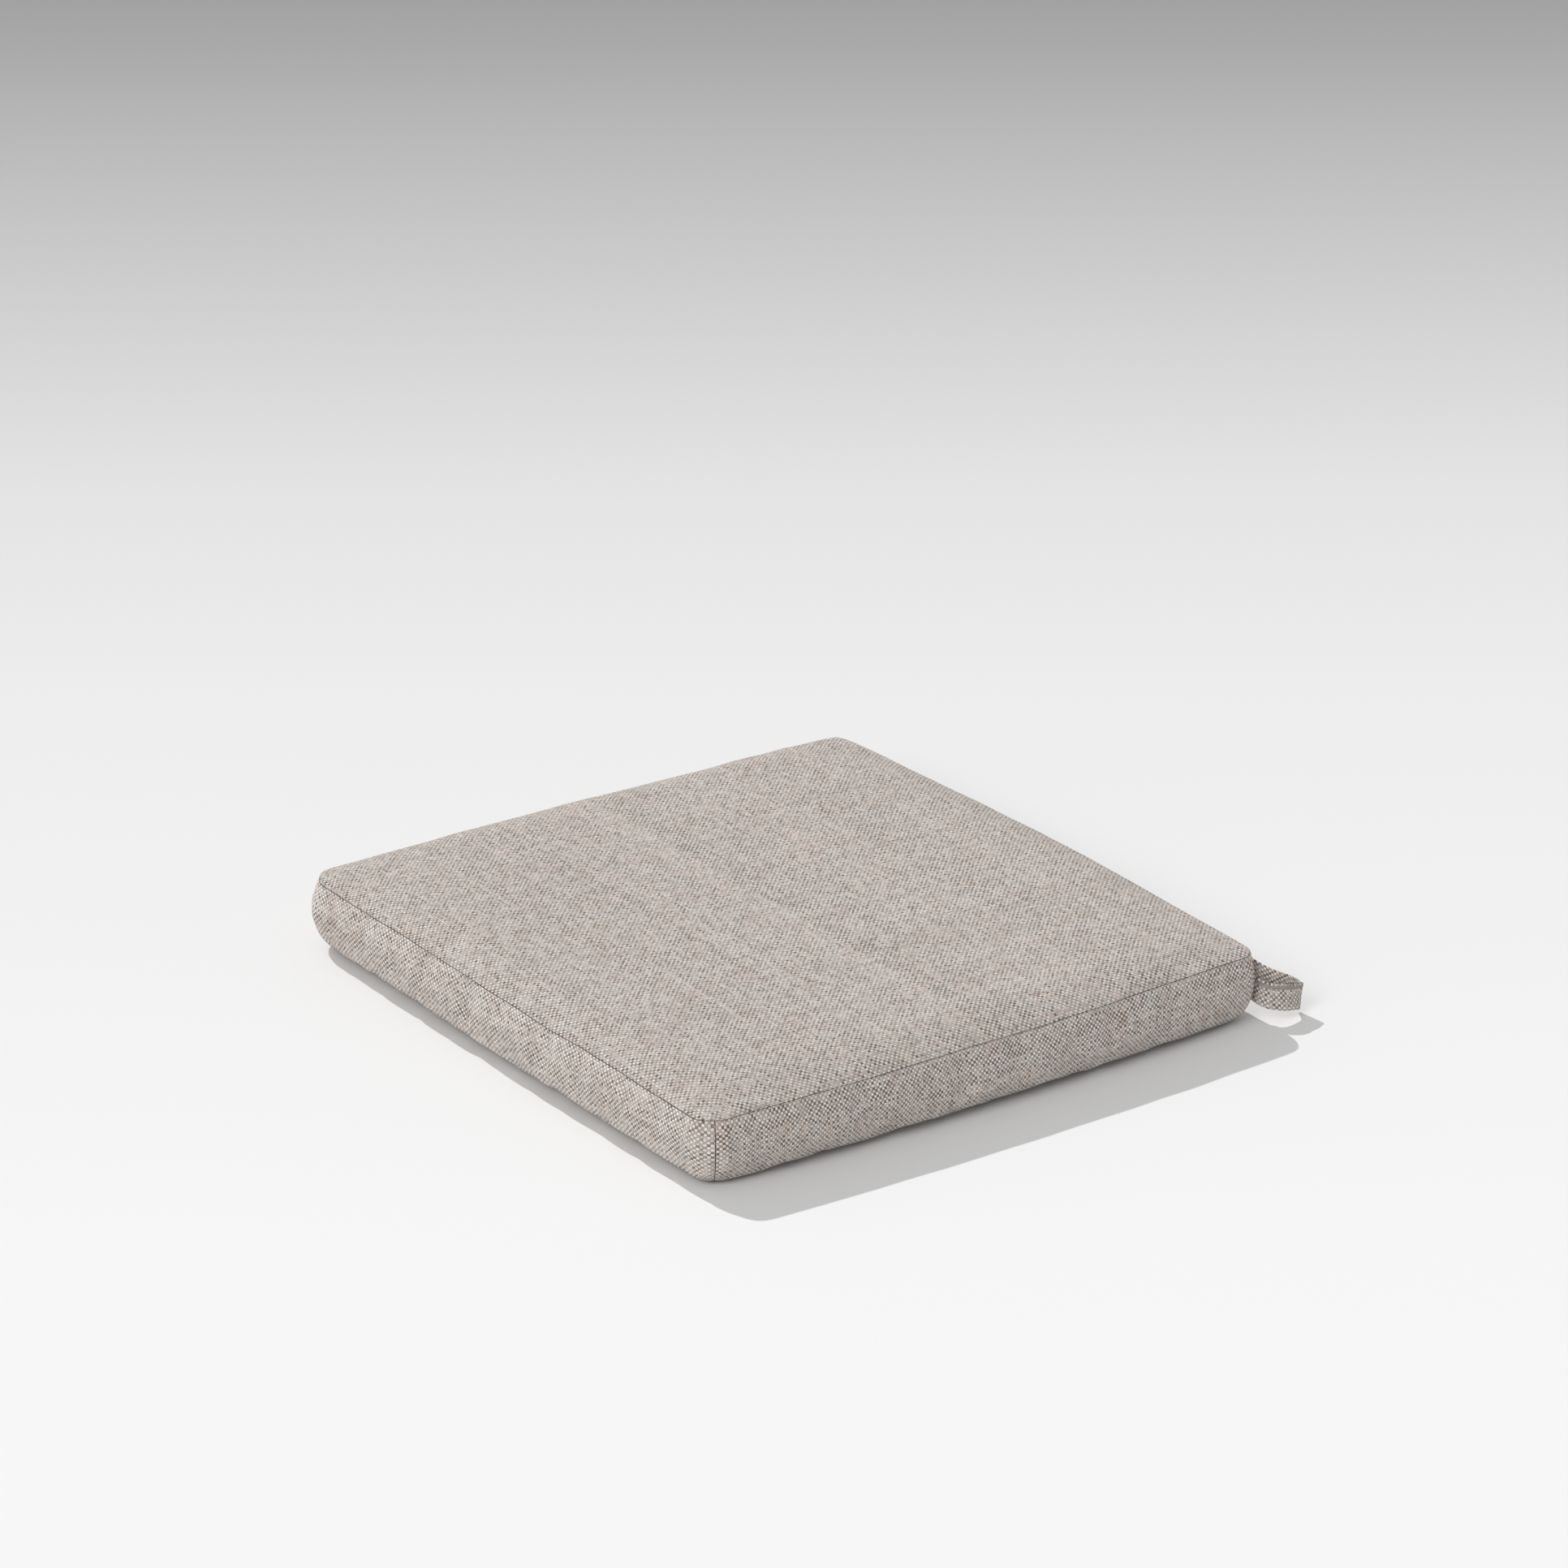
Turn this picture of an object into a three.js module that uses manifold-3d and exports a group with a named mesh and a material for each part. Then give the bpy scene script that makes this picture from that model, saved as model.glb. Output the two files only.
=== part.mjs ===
// A box-edge chair seat pad: a removable fabric cover over a wadded foam core.
// Units are millimetres, +X is the pad's right, +Y its rear and +Z up.
// The origin is the centre of the flat underside.
import * as THREE from "three";
import { mergeVertices } from "three/addons/utils/BufferGeometryUtils.js";
import Module from "manifold-3d";

const wasm = await Module();
wasm.setup();

// ---- driving dimensions ----

const GAP = 0.3;                    // air between two pieces that touch
const pad = {
  width: 460,                       // between the side seams at the corners
  depth: 432,                       // between the front and rear seams at the corners
  seamHeight: 47,                   // top seam above the underside
  crown: 8.5,                       // rise of the top panel above its seam
  frontRadius: 17,                  // corner radii in plan
  rearRadius: 15,
  frontBow: 1.5,                    // the front and the two sides stand out this much at their middle
  sideBow: 5,
};
const cloth = {
  thickness: 1.2,                   // coarse woven cover fabric
  cornerSteps: 6,
  cornerSeams: [2, 4, 3, 3],        // step at which each corner's upright seam stands: the front
                                    // strip reaches further round its corners than the side strips
  sideSteps: 6,
};
const boxing = {
  bottomTuck: 4.5,                  // the strip curls under to its bottom seam
  topTuck: 0.8,
  bulge: 2.2,                       // and swells at mid height
  levels: 5,                        // points up the section
};
const filling = {
  waddingThickness: 6,
  sideInset: 8,                     // foam and wadding inside the cover's outline
};
const zip = {
  height: 23,                       // centre line above the underside
  halfRun: 152,                     // half the length of the coils
  bandGap: 9.6,                     // window between the two rear strips
  bandHalf: 162,                    // half the length of the two strips that the zip joins
  tapeHeight: 9,
  tapeThickness: 0.8,
  coilHeight: 1.65,
  coilDepth: 1.8,
  stopLength: 2.5,
  stopHeight: 4.4,
};
const slider = {
  length: 10,
  height: 7.6,
  plate: 1.2,
  flange: 1.2,
  restX: 146,
  postWidth: 1.2,
  postSpan: 5.4,                    // outside the two posts
  barRadius: 0.6,
  knuckleBore: 0.9,
  knuckleRadius: 1.7,
  knuckleWidth: 2.2,
  bladeLength: 24,
  bladeWidth: 6,
  bladeThickness: 1.1,
};
const strap = {
  thickness: 2.4,
  tipHeight: 20,                    // height of the band, which stands on edge, at the tip's fold
  inner: { rise: 16, height: 23 },  // climb of the inner leg from the tip, and its height at the root
  outer: { rise: 12, height: 17 },
  splay: 4,                         // the outer leg's lower edge stands this much beyond its upper one
  tipLift: 0.6,                     // the tip hangs just clear of the underside's level
  rootInboard: 18,                  // root to the side face
  rootStand: 3,                     // root to the rear face, so that the loop can swing
  reach: 34,                        // root to tip
  lean: 48,                         // degrees from the rear face to the line from root to tip
  // The legs in plan: share of the reach, and distance outwards from the line.
  innerLine: [[0, -1.4], [0.14, 1.6], [0.34, 3.5], [0.65, 3.2]],
  outerLine: [[0, 1.2], [0.25, 9.6], [0.56, 16.4], [0.86, 8.6]],
  steps: 18,
};
const colour = {
  fabric: 0xbcb3ac,
  inner: 0xf2f0ea,
  foam: 0xe9dfc2,
  zip: 0xa39a92,
  metal: 0x9c9c9c,
};

// ---- geometry helpers ----

function signedVolume(geometry) {
  const position = geometry.getAttribute("position");
  const index = geometry.getIndex();
  const a = new THREE.Vector3();
  const b = new THREE.Vector3();
  const c = new THREE.Vector3();
  let total = 0;
  for (let i = 0; i < index.count; i += 3) {
    a.fromBufferAttribute(position, index.getX(i));
    b.fromBufferAttribute(position, index.getX(i + 1));
    c.fromBufferAttribute(position, index.getX(i + 2));
    total += a.dot(b.cross(c)) / 6;
  }
  return total;
}

// A closed solid through rings of points, with a fan over the first and the last ring.
function loft(rings) {
  const count = rings[0].length;
  const points = rings.flat();
  const triangles = [];
  for (let r = 0; r + 1 < rings.length; r += 1) {
    for (let i = 0; i < count; i += 1) {
      const next = (i + 1) % count;
      const a = r * count + i;
      const b = r * count + next;
      triangles.push(a, b, b + count, a, b + count, a + count);
    }
  }
  const caps = [[rings[0], 0, true], [rings.at(-1), (rings.length - 1) * count, false]];
  for (const [ring, first, reversed] of caps) {
    const centre = ring.reduce((sum, p) => sum.add(p), new THREE.Vector3()).divideScalar(count);
    const middle = points.push(centre) - 1;
    for (let i = 0; i < count; i += 1) {
      const a = first + i;
      const b = first + (i + 1) % count;
      triangles.push(middle, reversed ? b : a, reversed ? a : b);
    }
  }
  const geometry = new THREE.BufferGeometry().setFromPoints(points);
  geometry.setIndex(triangles);
  if (signedVolume(geometry) < 0) {
    geometry.setIndex(triangles.reverse());
  }
  geometry.computeVertexNormals();
  return geometry;
}

function toSolid(geometry) {
  const bare = geometry.clone();
  bare.deleteAttribute("normal");
  bare.deleteAttribute("uv");
  const merged = mergeVertices(bare, 1e-4);
  return new wasm.Manifold(new wasm.Mesh({
    numProp: 3,
    vertProperties: new Float32Array(merged.getAttribute("position").array),
    triVerts: new Uint32Array(merged.getIndex().array),
  }));
}

function join(geometries) {
  const joined = geometries.map(toSolid).reduce((sum, solid) => sum.add(solid));
  const mesh = joined.getMesh();
  const geometry = new THREE.BufferGeometry();
  geometry.setAttribute("position", new THREE.BufferAttribute(mesh.vertProperties, 3));
  geometry.setIndex(new THREE.BufferAttribute(mesh.triVerts, 1));
  geometry.computeVertexNormals();
  return geometry;
}

function block(sizeX, sizeY, sizeZ, x, y, z) {
  return new THREE.BoxGeometry(sizeX, sizeY, sizeZ).translate(x, y, z);
}

function addMesh(group, name, geometry, tint, roughness = 0.9, metalness = 0) {
  const material = new THREE.MeshStandardMaterial({ color: tint, roughness, metalness });
  const mesh = new THREE.Mesh(geometry, material);
  mesh.name = name;
  group.add(mesh);
  return mesh;
}

// ---- the pad's outline in plan ----

// The corners in the order front left, front right, rear right, rear left.
const corners = [
  { sx: -1, sy: -1, radius: pad.frontRadius, start: Math.PI },
  { sx: 1, sy: -1, radius: pad.frontRadius, start: 1.5 * Math.PI },
  { sx: 1, sy: 1, radius: pad.rearRadius, start: 0 },
  { sx: -1, sy: 1, radius: pad.rearRadius, start: 0.5 * Math.PI },
];
const bows = [pad.frontBow, pad.sideBow, 0, pad.sideBow];     // front, right, rear, left
const SIDE_POINTS = cloth.cornerSteps + cloth.sideSteps;

// Counterclockwise points with outward normals. Entry 0 is the first point of the front left corner.
function outline() {
  const points = [];
  corners.forEach((corner, k) => {
    const centre = new THREE.Vector2(
      corner.sx * (pad.width / 2 - corner.radius),
      corner.sy * (pad.depth / 2 - corner.radius),
    );
    for (let i = 0; i <= cloth.cornerSteps; i += 1) {
      const angle = corner.start + (i / cloth.cornerSteps) * Math.PI / 2;
      const normal = new THREE.Vector2(Math.cos(angle), Math.sin(angle));
      points.push({ point: centre.clone().addScaledVector(normal, corner.radius), normal });
    }
    const next = corners[(k + 1) % corners.length];
    const from = points.at(-1);
    const to = new THREE.Vector2(
      next.sx * (pad.width / 2 - next.radius),
      next.sy * (pad.depth / 2 - next.radius),
    ).addScaledVector(from.normal, next.radius);
    for (let i = 1; i < cloth.sideSteps; i += 1) {
      const t = i / cloth.sideSteps;
      const stand = bows[k] * Math.sin(Math.PI * t);
      const point = from.point.clone().lerp(to, t).addScaledVector(from.normal, stand);
      points.push({ point, normal: from.normal.clone() });
    }
  });
  return points;
}

const OUTLINE = outline();

// One ring of the pad at a height: the outline moved out by offset, then scaled about the centre.
function planRing(offset, scale, height) {
  return OUTLINE.map(({ point, normal }) => {
    const moved = point.clone().addScaledVector(normal, offset).multiplyScalar(scale);
    return new THREE.Vector3(moved.x, moved.y, height);
  });
}

// ---- the panels and the filling ----

const DOME = [0.2, 0.45, 0.68, 0.85, 0.95, 1];      // ring sizes from the centre to the rim

function domeHeight(rim, rise, scale) {
  return rim + rise * (1 - scale ** 3);
}

// A sheet of even thickness that follows the crown.
function domedSheet(inset, lowerRim, thickness, rise) {
  const lower = DOME.map((s) => planRing(-inset, s, domeHeight(lowerRim, rise, s)));
  const upper = DOME.map((s) => planRing(-inset, s, domeHeight(lowerRim + thickness, rise, s)));
  return loft([...lower, ...upper.reverse()]);
}

function flatSheet(inset, bottom, thickness) {
  return loft([planRing(-inset, 1, bottom), planRing(-inset, 1, bottom + thickness)]);
}

const topRim = pad.seamHeight - cloth.thickness;
const waddingTop = topRim - GAP;
const foamTop = waddingTop - filling.waddingThickness - GAP;
const waddingBottom = cloth.thickness + GAP;
const foamBottom = waddingBottom + filling.waddingThickness + GAP;

function buildPanels(group) {
  addMesh(group, "top_panel", domedSheet(0, topRim, cloth.thickness, pad.crown), colour.fabric);
  addMesh(group, "bottom_panel", flatSheet(boxing.bottomTuck, 0, cloth.thickness), colour.fabric);
}

function buildFilling(group) {
  const inset = filling.sideInset;
  const thickness = filling.waddingThickness;
  addMesh(group, "wadding_upper", domedSheet(inset, waddingTop - thickness, thickness, pad.crown),
    colour.inner);
  addMesh(group, "wadding_lower", flatSheet(inset, waddingBottom, thickness), colour.inner);
  const crown = DOME.map((s) => planRing(-inset, s, domeHeight(foamTop, pad.crown, s))).reverse();
  addMesh(group, "foam_core", loft([planRing(-inset, 1, foamBottom), ...crown]), colour.foam);
}

// ---- the boxing strips ----

// How far the strip's outer face stands out of the outline at a height.
function boxingOffset(height) {
  const t = height / pad.seamHeight;
  const ends = -boxing.bottomTuck * (1 - t) ** 3 - boxing.topTuck * t ** 3;
  return ends + boxing.bulge * Math.sin(Math.PI * t);
}

// The outline from one corner's upright seam to the next one.
function sidePath(side) {
  const start = cloth.cornerSeams[side];
  const end = SIDE_POINTS + cloth.cornerSeams[(side + 1) % 4];
  return Array.from({ length: end - start + 1 }, (_, i) =>
    OUTLINE[(side * SIDE_POINTS + start + i) % OUTLINE.length]);
}

// A strip along a path, between two heights, with half a gap left free at each end.
function boxingStrip(path, low, high, offsetAt) {
  const stations = path.map(({ point, normal }, i) => {
    const along = new THREE.Vector2(-normal.y, normal.x);
    const trim = i === 0 ? GAP / 2 : i === path.length - 1 ? -GAP / 2 : 0;
    const base = point.clone().addScaledVector(along, trim);
    const at = (height, inward) => {
      const p = base.clone().addScaledVector(normal, offsetAt(height) - inward);
      return new THREE.Vector3(p.x, p.y, height);
    };
    const heights = Array.from({ length: boxing.levels }, (_, k) =>
      low + (high - low) * k / (boxing.levels - 1));
    const outer = heights.map((h) => at(h, 0));
    const inner = heights.map((h) => at(h, cloth.thickness)).reverse();
    return [...outer, ...inner];
  });
  return loft(stations);
}

// The zip keeps the middle of the rear side straight.
function rearOffset(height) {
  const reach = Math.min(1, Math.abs(height - zip.height) / (pad.seamHeight / 2));
  return boxingOffset(height) * reach ** 2;
}

// The rear side is the zip band, closed by a plain piece at each end.
function buildRear(group, low, high) {
  const normal = new THREE.Vector2(0, 1);
  const rightEnd = { point: new THREE.Vector2(zip.bandHalf, pad.depth / 2), normal };
  const leftEnd = { point: new THREE.Vector2(-zip.bandHalf, pad.depth / 2), normal };
  const whole = sidePath(2);
  const cornerPoints = cloth.cornerSteps / 2 + 1;
  const paths = {
    right: [...whole.slice(0, cornerPoints), rightEnd],
    left: [leftEnd, ...whole.slice(-cornerPoints)],
  };
  for (const [name, path] of Object.entries(paths)) {
    addMesh(group, `rear_boxing_${name}`, boxingStrip(path, low, high, rearOffset), colour.fabric);
  }
  const bands = {
    lower: [low, zip.height - zip.bandGap / 2],
    upper: [zip.height + zip.bandGap / 2, high],
  };
  for (const [name, [from, to]] of Object.entries(bands)) {
    const strip = boxingStrip([rightEnd, leftEnd], from, to, rearOffset);
    addMesh(group, `rear_boxing_${name}`, strip, colour.fabric);
  }
}

function buildBoxing(group) {
  const low = cloth.thickness + GAP;
  const high = topRim - GAP;
  const sides = { front_boxing: 0, right_boxing: 1, left_boxing: 3 };
  for (const [name, side] of Object.entries(sides)) {
    addMesh(group, name, boxingStrip(sidePath(side), low, high, boxingOffset), colour.fabric);
  }
  buildRear(group, low, high);
}

// ---- the zip in the rear side ----

const rearFace = pad.depth / 2;
const tapeOuter = rearFace - cloth.thickness - GAP;
const coilInner = tapeOuter + GAP;
const coilOuter = coilInner + zip.coilDepth;

function buildZip(group) {
  for (const [name, sign] of [["lower", -1], ["upper", 1]]) {
    const tapeMiddle = zip.height + sign * (zip.tapeHeight / 2 + GAP / 2);
    addMesh(group, `zip_tape_${name}`, block(2 * zip.halfRun + 12, zip.tapeThickness,
      zip.tapeHeight, 0, tapeOuter - zip.tapeThickness / 2, tapeMiddle), colour.zip);
    const coilMiddle = zip.height + sign * (zip.coilHeight / 2 + GAP / 2);
    addMesh(group, `zip_coil_${name}`, block(2 * zip.halfRun, zip.coilDepth, zip.coilHeight,
      0, (coilInner + coilOuter) / 2, coilMiddle), colour.zip, 0.5);
  }
  for (const [name, sign] of [["zip_stop_left", -1], ["zip_stop_right", 1]]) {
    const x = sign * (zip.halfRun + GAP + zip.stopLength / 2);
    addMesh(group, name, block(zip.stopLength, zip.coilDepth + 0.4, zip.stopHeight,
      x, coilInner + (zip.coilDepth + 0.4) / 2, zip.height), colour.metal, 0.35, 0.9);
  }
}

const plateInner = coilOuter + GAP;
const plateOuter = plateInner + slider.plate;
const barY = plateOuter + slider.knuckleRadius + GAP;

// A channel over the coils, with two posts and a bar that carries the pull tab.
function sliderBody() {
  const x = slider.restX;
  const plate = block(slider.length, slider.plate, slider.height, x,
    plateInner + slider.plate / 2, zip.height);
  const parts = [plate];
  for (const sign of [-1, 1]) {
    const flangeDepth = plateOuter - coilInner;
    const flangeZ = zip.height + sign * (slider.height - slider.flange) / 2;
    parts.push(block(slider.length, flangeDepth, slider.flange, x, coilInner + flangeDepth / 2,
      flangeZ));
    const postZ = zip.height + sign * (slider.postSpan - slider.postWidth) / 2;
    const postDepth = barY + slider.barRadius - plateInner;
    parts.push(block(slider.postWidth, postDepth, slider.postWidth, x,
      plateInner + postDepth / 2, postZ));
  }
  const bar = new THREE.CylinderGeometry(slider.barRadius, slider.barRadius,
    slider.postSpan - slider.postWidth, 16).rotateX(Math.PI / 2).translate(x, barY, zip.height);
  parts.push(bar);
  return join(parts);
}

// A knuckle round the bar, with a rounded blade that lies along the zip.
function pullTab() {
  const ring = new THREE.Shape().absarc(0, 0, slider.knuckleRadius, 0, 2 * Math.PI);
  ring.holes.push(new THREE.Path().absarc(0, 0, slider.knuckleBore, 0, 2 * Math.PI, true));
  const knuckle = new THREE.ExtrudeGeometry(ring, {
    depth: slider.knuckleWidth, bevelEnabled: false, curveSegments: 16,
  }).translate(0, 0, -slider.knuckleWidth / 2);
  const start = (slider.knuckleBore + slider.knuckleRadius) / 2;
  const neckEnd = slider.knuckleRadius + 3;
  const half = slider.bladeWidth / 2;
  const end = slider.bladeLength;
  const blade = new THREE.Shape();
  blade.moveTo(start, -slider.knuckleWidth / 2);
  blade.lineTo(neckEnd - 1, -slider.knuckleWidth / 2);
  blade.lineTo(neckEnd, -half);
  blade.lineTo(end - half, -half);
  blade.absarc(end - half, 0, half, -Math.PI / 2, Math.PI / 2);
  blade.lineTo(neckEnd, half);
  blade.lineTo(neckEnd - 1, slider.knuckleWidth / 2);
  blade.lineTo(start, slider.knuckleWidth / 2);
  const leaf = new THREE.ExtrudeGeometry(blade, {
    depth: slider.bladeThickness, bevelEnabled: false, curveSegments: 10,
  }).translate(0, 0, -slider.bladeThickness / 2).rotateX(Math.PI / 2);
  return join([knuckle, leaf]).rotateZ(Math.PI).translate(slider.restX, barY, zip.height);
}

function buildSlider(group) {
  addMesh(group, "zip_slider", sliderBody(), colour.metal, 0.35, 0.9);
  addMesh(group, "zip_pull_tab", pullTab(), colour.metal, 0.35, 0.9);
}

// ---- the strap loops at the rear corners ----

// The loop's line in plan for the right strap, from the inner leg's root round the tip.
function loopLine() {
  const lean = THREE.MathUtils.degToRad(strap.lean);
  const forward = new THREE.Vector3(Math.cos(lean), Math.sin(lean), 0);
  const outward = new THREE.Vector3(Math.sin(lean), -Math.cos(lean), 0);
  const root = new THREE.Vector3(pad.width / 2 - strap.rootInboard, rearFace + strap.rootStand, 0);
  const at = ([share, out]) => root.clone()
    .addScaledVector(forward, share * strap.reach)
    .addScaledVector(outward, out);
  const inner = strap.innerLine.map(at);
  const outer = strap.outerLine.map(at).reverse();
  return new THREE.CatmullRomCurve3([...inner, at([1, 0]), ...outer]);
}

// The tip's place on the line, as a share of the line's length.
function tipShare(line) {
  const perPoint = 20;
  const lengths = line.getLengths(perPoint * (line.points.length - 1));
  return lengths[perPoint * strap.innerLine.length] / lengths[lengths.length - 1];
}

// A band standing on edge. Both legs climb from the tip, and the outer leg splays at its middle.
function strapBand(mirror) {
  const line = loopLine();
  const tip = tipShare(line);
  const stations = [];
  for (let i = 0; i <= strap.steps; i += 1) {
    const t = i / strap.steps;
    const middle = line.getPointAt(t);
    const tangent = line.getTangentAt(t);
    const side = new THREE.Vector3(-tangent.y, tangent.x, 0);
    const outerLeg = t > tip;
    const fromTip = outerLeg ? (t - tip) / (1 - tip) : 1 - t / tip;
    const leg = outerLeg ? strap.outer : strap.inner;
    const splay = outerLeg ? strap.splay / 2 * Math.sin(Math.PI * fromTip) ** 2 : 0;
    const low = strap.tipLift + fromTip ** 0.5 * leg.rise;
    const high = low + THREE.MathUtils.lerp(strap.tipHeight, leg.height, fromTip);
    const corner = (sign, height, lean) => {
      const p = middle.clone().addScaledVector(side, sign * strap.thickness / 2 + lean);
      return new THREE.Vector3(mirror * p.x, p.y, height);
    };
    stations.push([
      corner(1, low, splay), corner(-1, low, splay), corner(-1, high, -splay), corner(1, high, -splay),
    ]);
  }
  return loft(stations);
}

function buildStraps(group) {
  addMesh(group, "right_strap_loop", strapBand(1), colour.fabric);
  addMesh(group, "left_strap_loop", strapBand(-1), colour.fabric);
}

const seatPad = new THREE.Group();
buildPanels(seatPad);
buildBoxing(seatPad);
buildFilling(seatPad);
buildZip(seatPad);
buildSlider(seatPad);
buildStraps(seatPad);

export default seatPad;
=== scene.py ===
import math

import bpy
import numpy as np
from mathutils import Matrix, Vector


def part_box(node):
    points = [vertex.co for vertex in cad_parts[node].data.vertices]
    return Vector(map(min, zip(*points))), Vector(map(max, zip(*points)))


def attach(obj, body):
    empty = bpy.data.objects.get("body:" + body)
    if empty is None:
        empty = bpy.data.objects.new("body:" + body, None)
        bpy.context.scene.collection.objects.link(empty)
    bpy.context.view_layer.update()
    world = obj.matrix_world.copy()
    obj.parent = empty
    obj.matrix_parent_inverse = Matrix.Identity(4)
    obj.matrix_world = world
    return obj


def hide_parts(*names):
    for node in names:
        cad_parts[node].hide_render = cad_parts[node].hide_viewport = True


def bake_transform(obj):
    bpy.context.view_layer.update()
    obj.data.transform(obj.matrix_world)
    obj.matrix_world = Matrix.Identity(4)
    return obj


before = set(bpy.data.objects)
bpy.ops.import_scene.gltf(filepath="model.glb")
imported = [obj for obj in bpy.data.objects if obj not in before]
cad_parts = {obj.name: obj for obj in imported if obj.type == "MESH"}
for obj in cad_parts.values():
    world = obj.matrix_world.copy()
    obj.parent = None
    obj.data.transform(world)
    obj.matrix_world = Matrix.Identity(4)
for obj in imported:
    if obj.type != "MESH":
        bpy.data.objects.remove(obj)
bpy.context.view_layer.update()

MM = 0.001
BODY = "pad"

# ---- the pad's plan, taken from the frame ----

FRONT_BOW = 1.5 * MM                # the front and the sides stand out this much at their middle
SIDE_BOW = 5 * MM
CORNER_RADIUS = [22 * MM, 16 * MM, 15 * MM, 15 * MM]
panel_low, panel_high = (Vector(corner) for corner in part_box("top_panel"))
HALF_WIDTH = panel_high.x - SIDE_BOW
REAR_Y = panel_high.y
FRONT_Y = panel_low.y + FRONT_BOW
REAR_PULL = 2.5 * MM                # the rear right corner is drawn in by its sewn-in strap

# ---- the cover's grid ----

CELLS = 72                          # cells along each side of a panel
CORNER_CROWDING = 0.6               # cells are this share shorter at the corners
ROWS = 10                           # cells up the boxing
SUBDIVIDE = 2                       # fine cells per simulated cell

# The sides go round counterclockwise: front, right, rear, left.
FRONT, RIGHT, REAR, LEFT = range(4)
BOWS = [FRONT_BOW, SIDE_BOW, 0.0, SIDE_BOW]
REAR_SEAM_BOW = 4 * MM              # the rear's top seam bows, its zip stays straight
SEAM_RISE = [2 * MM, 2.2 * MM, 3.5 * MM, 1 * MM]

# Each corner is the one where its side begins: front left, front right, rear right, rear left.
CORNER_SPLIT = [1 / 3, 2 / 3, 1 / 2, 1 / 2]     # where the upright seam stands on the corner's arc
CORNER_PLUMP = [3.0 * MM, 0.6 * MM, 0.0, 0.0]   # the corner's extra bulge at half its height
CORNER_SEAM = [46.5 * MM, 45 * MM, 45.5 * MM, 42.5 * MM]     # the top seam's height at the corner

# The boxing's section from the bottom seam to the top one: height, and how far it stands out.
BOTTOM_SEAM = (3.4, -8.0)
SECTION = [BOTTOM_SEAM, (2.6, -5.0), (5.0, -1.2), (11.0, 2.2), (20.0, 3.8), (29.0, 3.9),
           (37.0, 2.7), (45.0, 0.0)]
REAR_SECTION = [BOTTOM_SEAM, (2.6, -5.0), (5.0, -1.6), (11.0, 0.2), (17.5, 0.0), (28.5, 0.0),
                (37.0, 1.0), (45.0, 0.0)]
CORNER_SECTION = [(3.4, -12.0), (2.6, -9.0), (5.0, -5.5), (11.0, -1.0), (20.0, 2.6), (29.0, 3.6),
                  (37.0, 2.7), (45.0, 0.0)]
SECTION_TOP = 45.0
ZIP_TOP = 28.5                      # up to here the rear boxing keeps its height, so the zip runs straight


def smooth_noise(x, seed, waves=5, longest=1.0):
    """A smooth wave of one variable, about -1 to 1, the same for the same seed."""
    rng = np.random.default_rng(seed)
    total = np.zeros_like(x)
    for k in range(waves):
        size = 1.0 / (1 + 0.7 * k)
        length = longest / (1 + k * rng.uniform(0.7, 1.3))
        total += size * np.sin(2 * np.pi * x / length + rng.uniform(0, 2 * np.pi))
    return total / 2.2


def resample(grid, positions, axis):
    """Values of a grid at fractional places along an axis, on a Catmull-Rom curve."""
    count = grid.shape[axis]
    positions = np.clip(np.asarray(positions, float), 0, count - 1)
    cell = np.minimum(positions.astype(int), count - 2)
    t = (positions - cell).reshape([-1 if k == axis else 1 for k in range(grid.ndim)])
    first = np.take(grid, [0], axis)
    last = np.take(grid, [count - 1], axis)
    before = 2 * first - np.take(grid, [1], axis)
    after = 2 * last - np.take(grid, [count - 2], axis)
    padded = np.concatenate([before, grid, after], axis)
    p0, p1, p2, p3 = (np.take(padded, cell + k, axis) for k in range(4))
    return p1 + 0.5 * t * (p2 - p0 + t * (2 * p0 - 5 * p1 + 4 * p2 - p3
                                          + t * (3 * (p1 - p2) + p3 - p0)))


def arc(centre, radius, start, end, count=24):
    angles = np.linspace(start, end, count)
    normals = np.stack([np.cos(angles), np.sin(angles)], 1)
    return np.array(centre) + radius * normals, normals


def side_outline(side, fractions):
    """Points and outward normals of one side in plan, from one corner's upright seam to the next."""
    corners = [(-1, FRONT_Y, math.pi), (1, FRONT_Y, 1.5 * math.pi),
               (1, REAR_Y, 0.0), (-1, REAR_Y, 0.5 * math.pi)]
    pieces = []
    following = (side + 1) % 4
    for k, low, high in ((side, CORNER_SPLIT[side], 1), (following, 0, CORNER_SPLIT[following])):
        sign, y, start = corners[k]
        radius = CORNER_RADIUS[k]
        inward = 1 if y == FRONT_Y else -1
        centre = (sign * (HALF_WIDTH - radius), y + inward * radius)
        pieces.append(arc(centre, radius, start + low * math.pi / 2, start + high * math.pi / 2))
    points = np.concatenate([p for p, _ in pieces])
    normals = np.concatenate([n for _, n in pieces])
    steps = np.linalg.norm(np.diff(points, axis=0), axis=1)
    along = np.concatenate([[0], np.cumsum(steps)])
    want = np.asarray(fractions) * along[-1]
    place = np.stack([np.interp(want, along, points[:, k]) for k in range(2)], 1)
    normal = np.stack([np.interp(want, along, normals[:, k]) for k in range(2)], 1)
    normal /= np.linalg.norm(normal, axis=1)[:, None]
    return place, normal, want


EVEN = np.linspace(0, 1, CELLS + 1)
FRACTIONS = EVEN - CORNER_CROWDING * np.sin(2 * np.pi * EVEN) / (2 * np.pi)


def seam_height(side, fractions):
    start = CORNER_SEAM[side]
    end = CORNER_SEAM[(side + 1) % 4]
    middle = SEAM_RISE[side] * np.sin(np.pi * fractions) ** 0.8
    ripple = 0.7 * MM * smooth_noise(fractions, 40 + side, longest=0.55)
    return start + (end - start) * fractions + middle + ripple * np.sin(np.pi * fractions) ** 0.5


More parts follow.
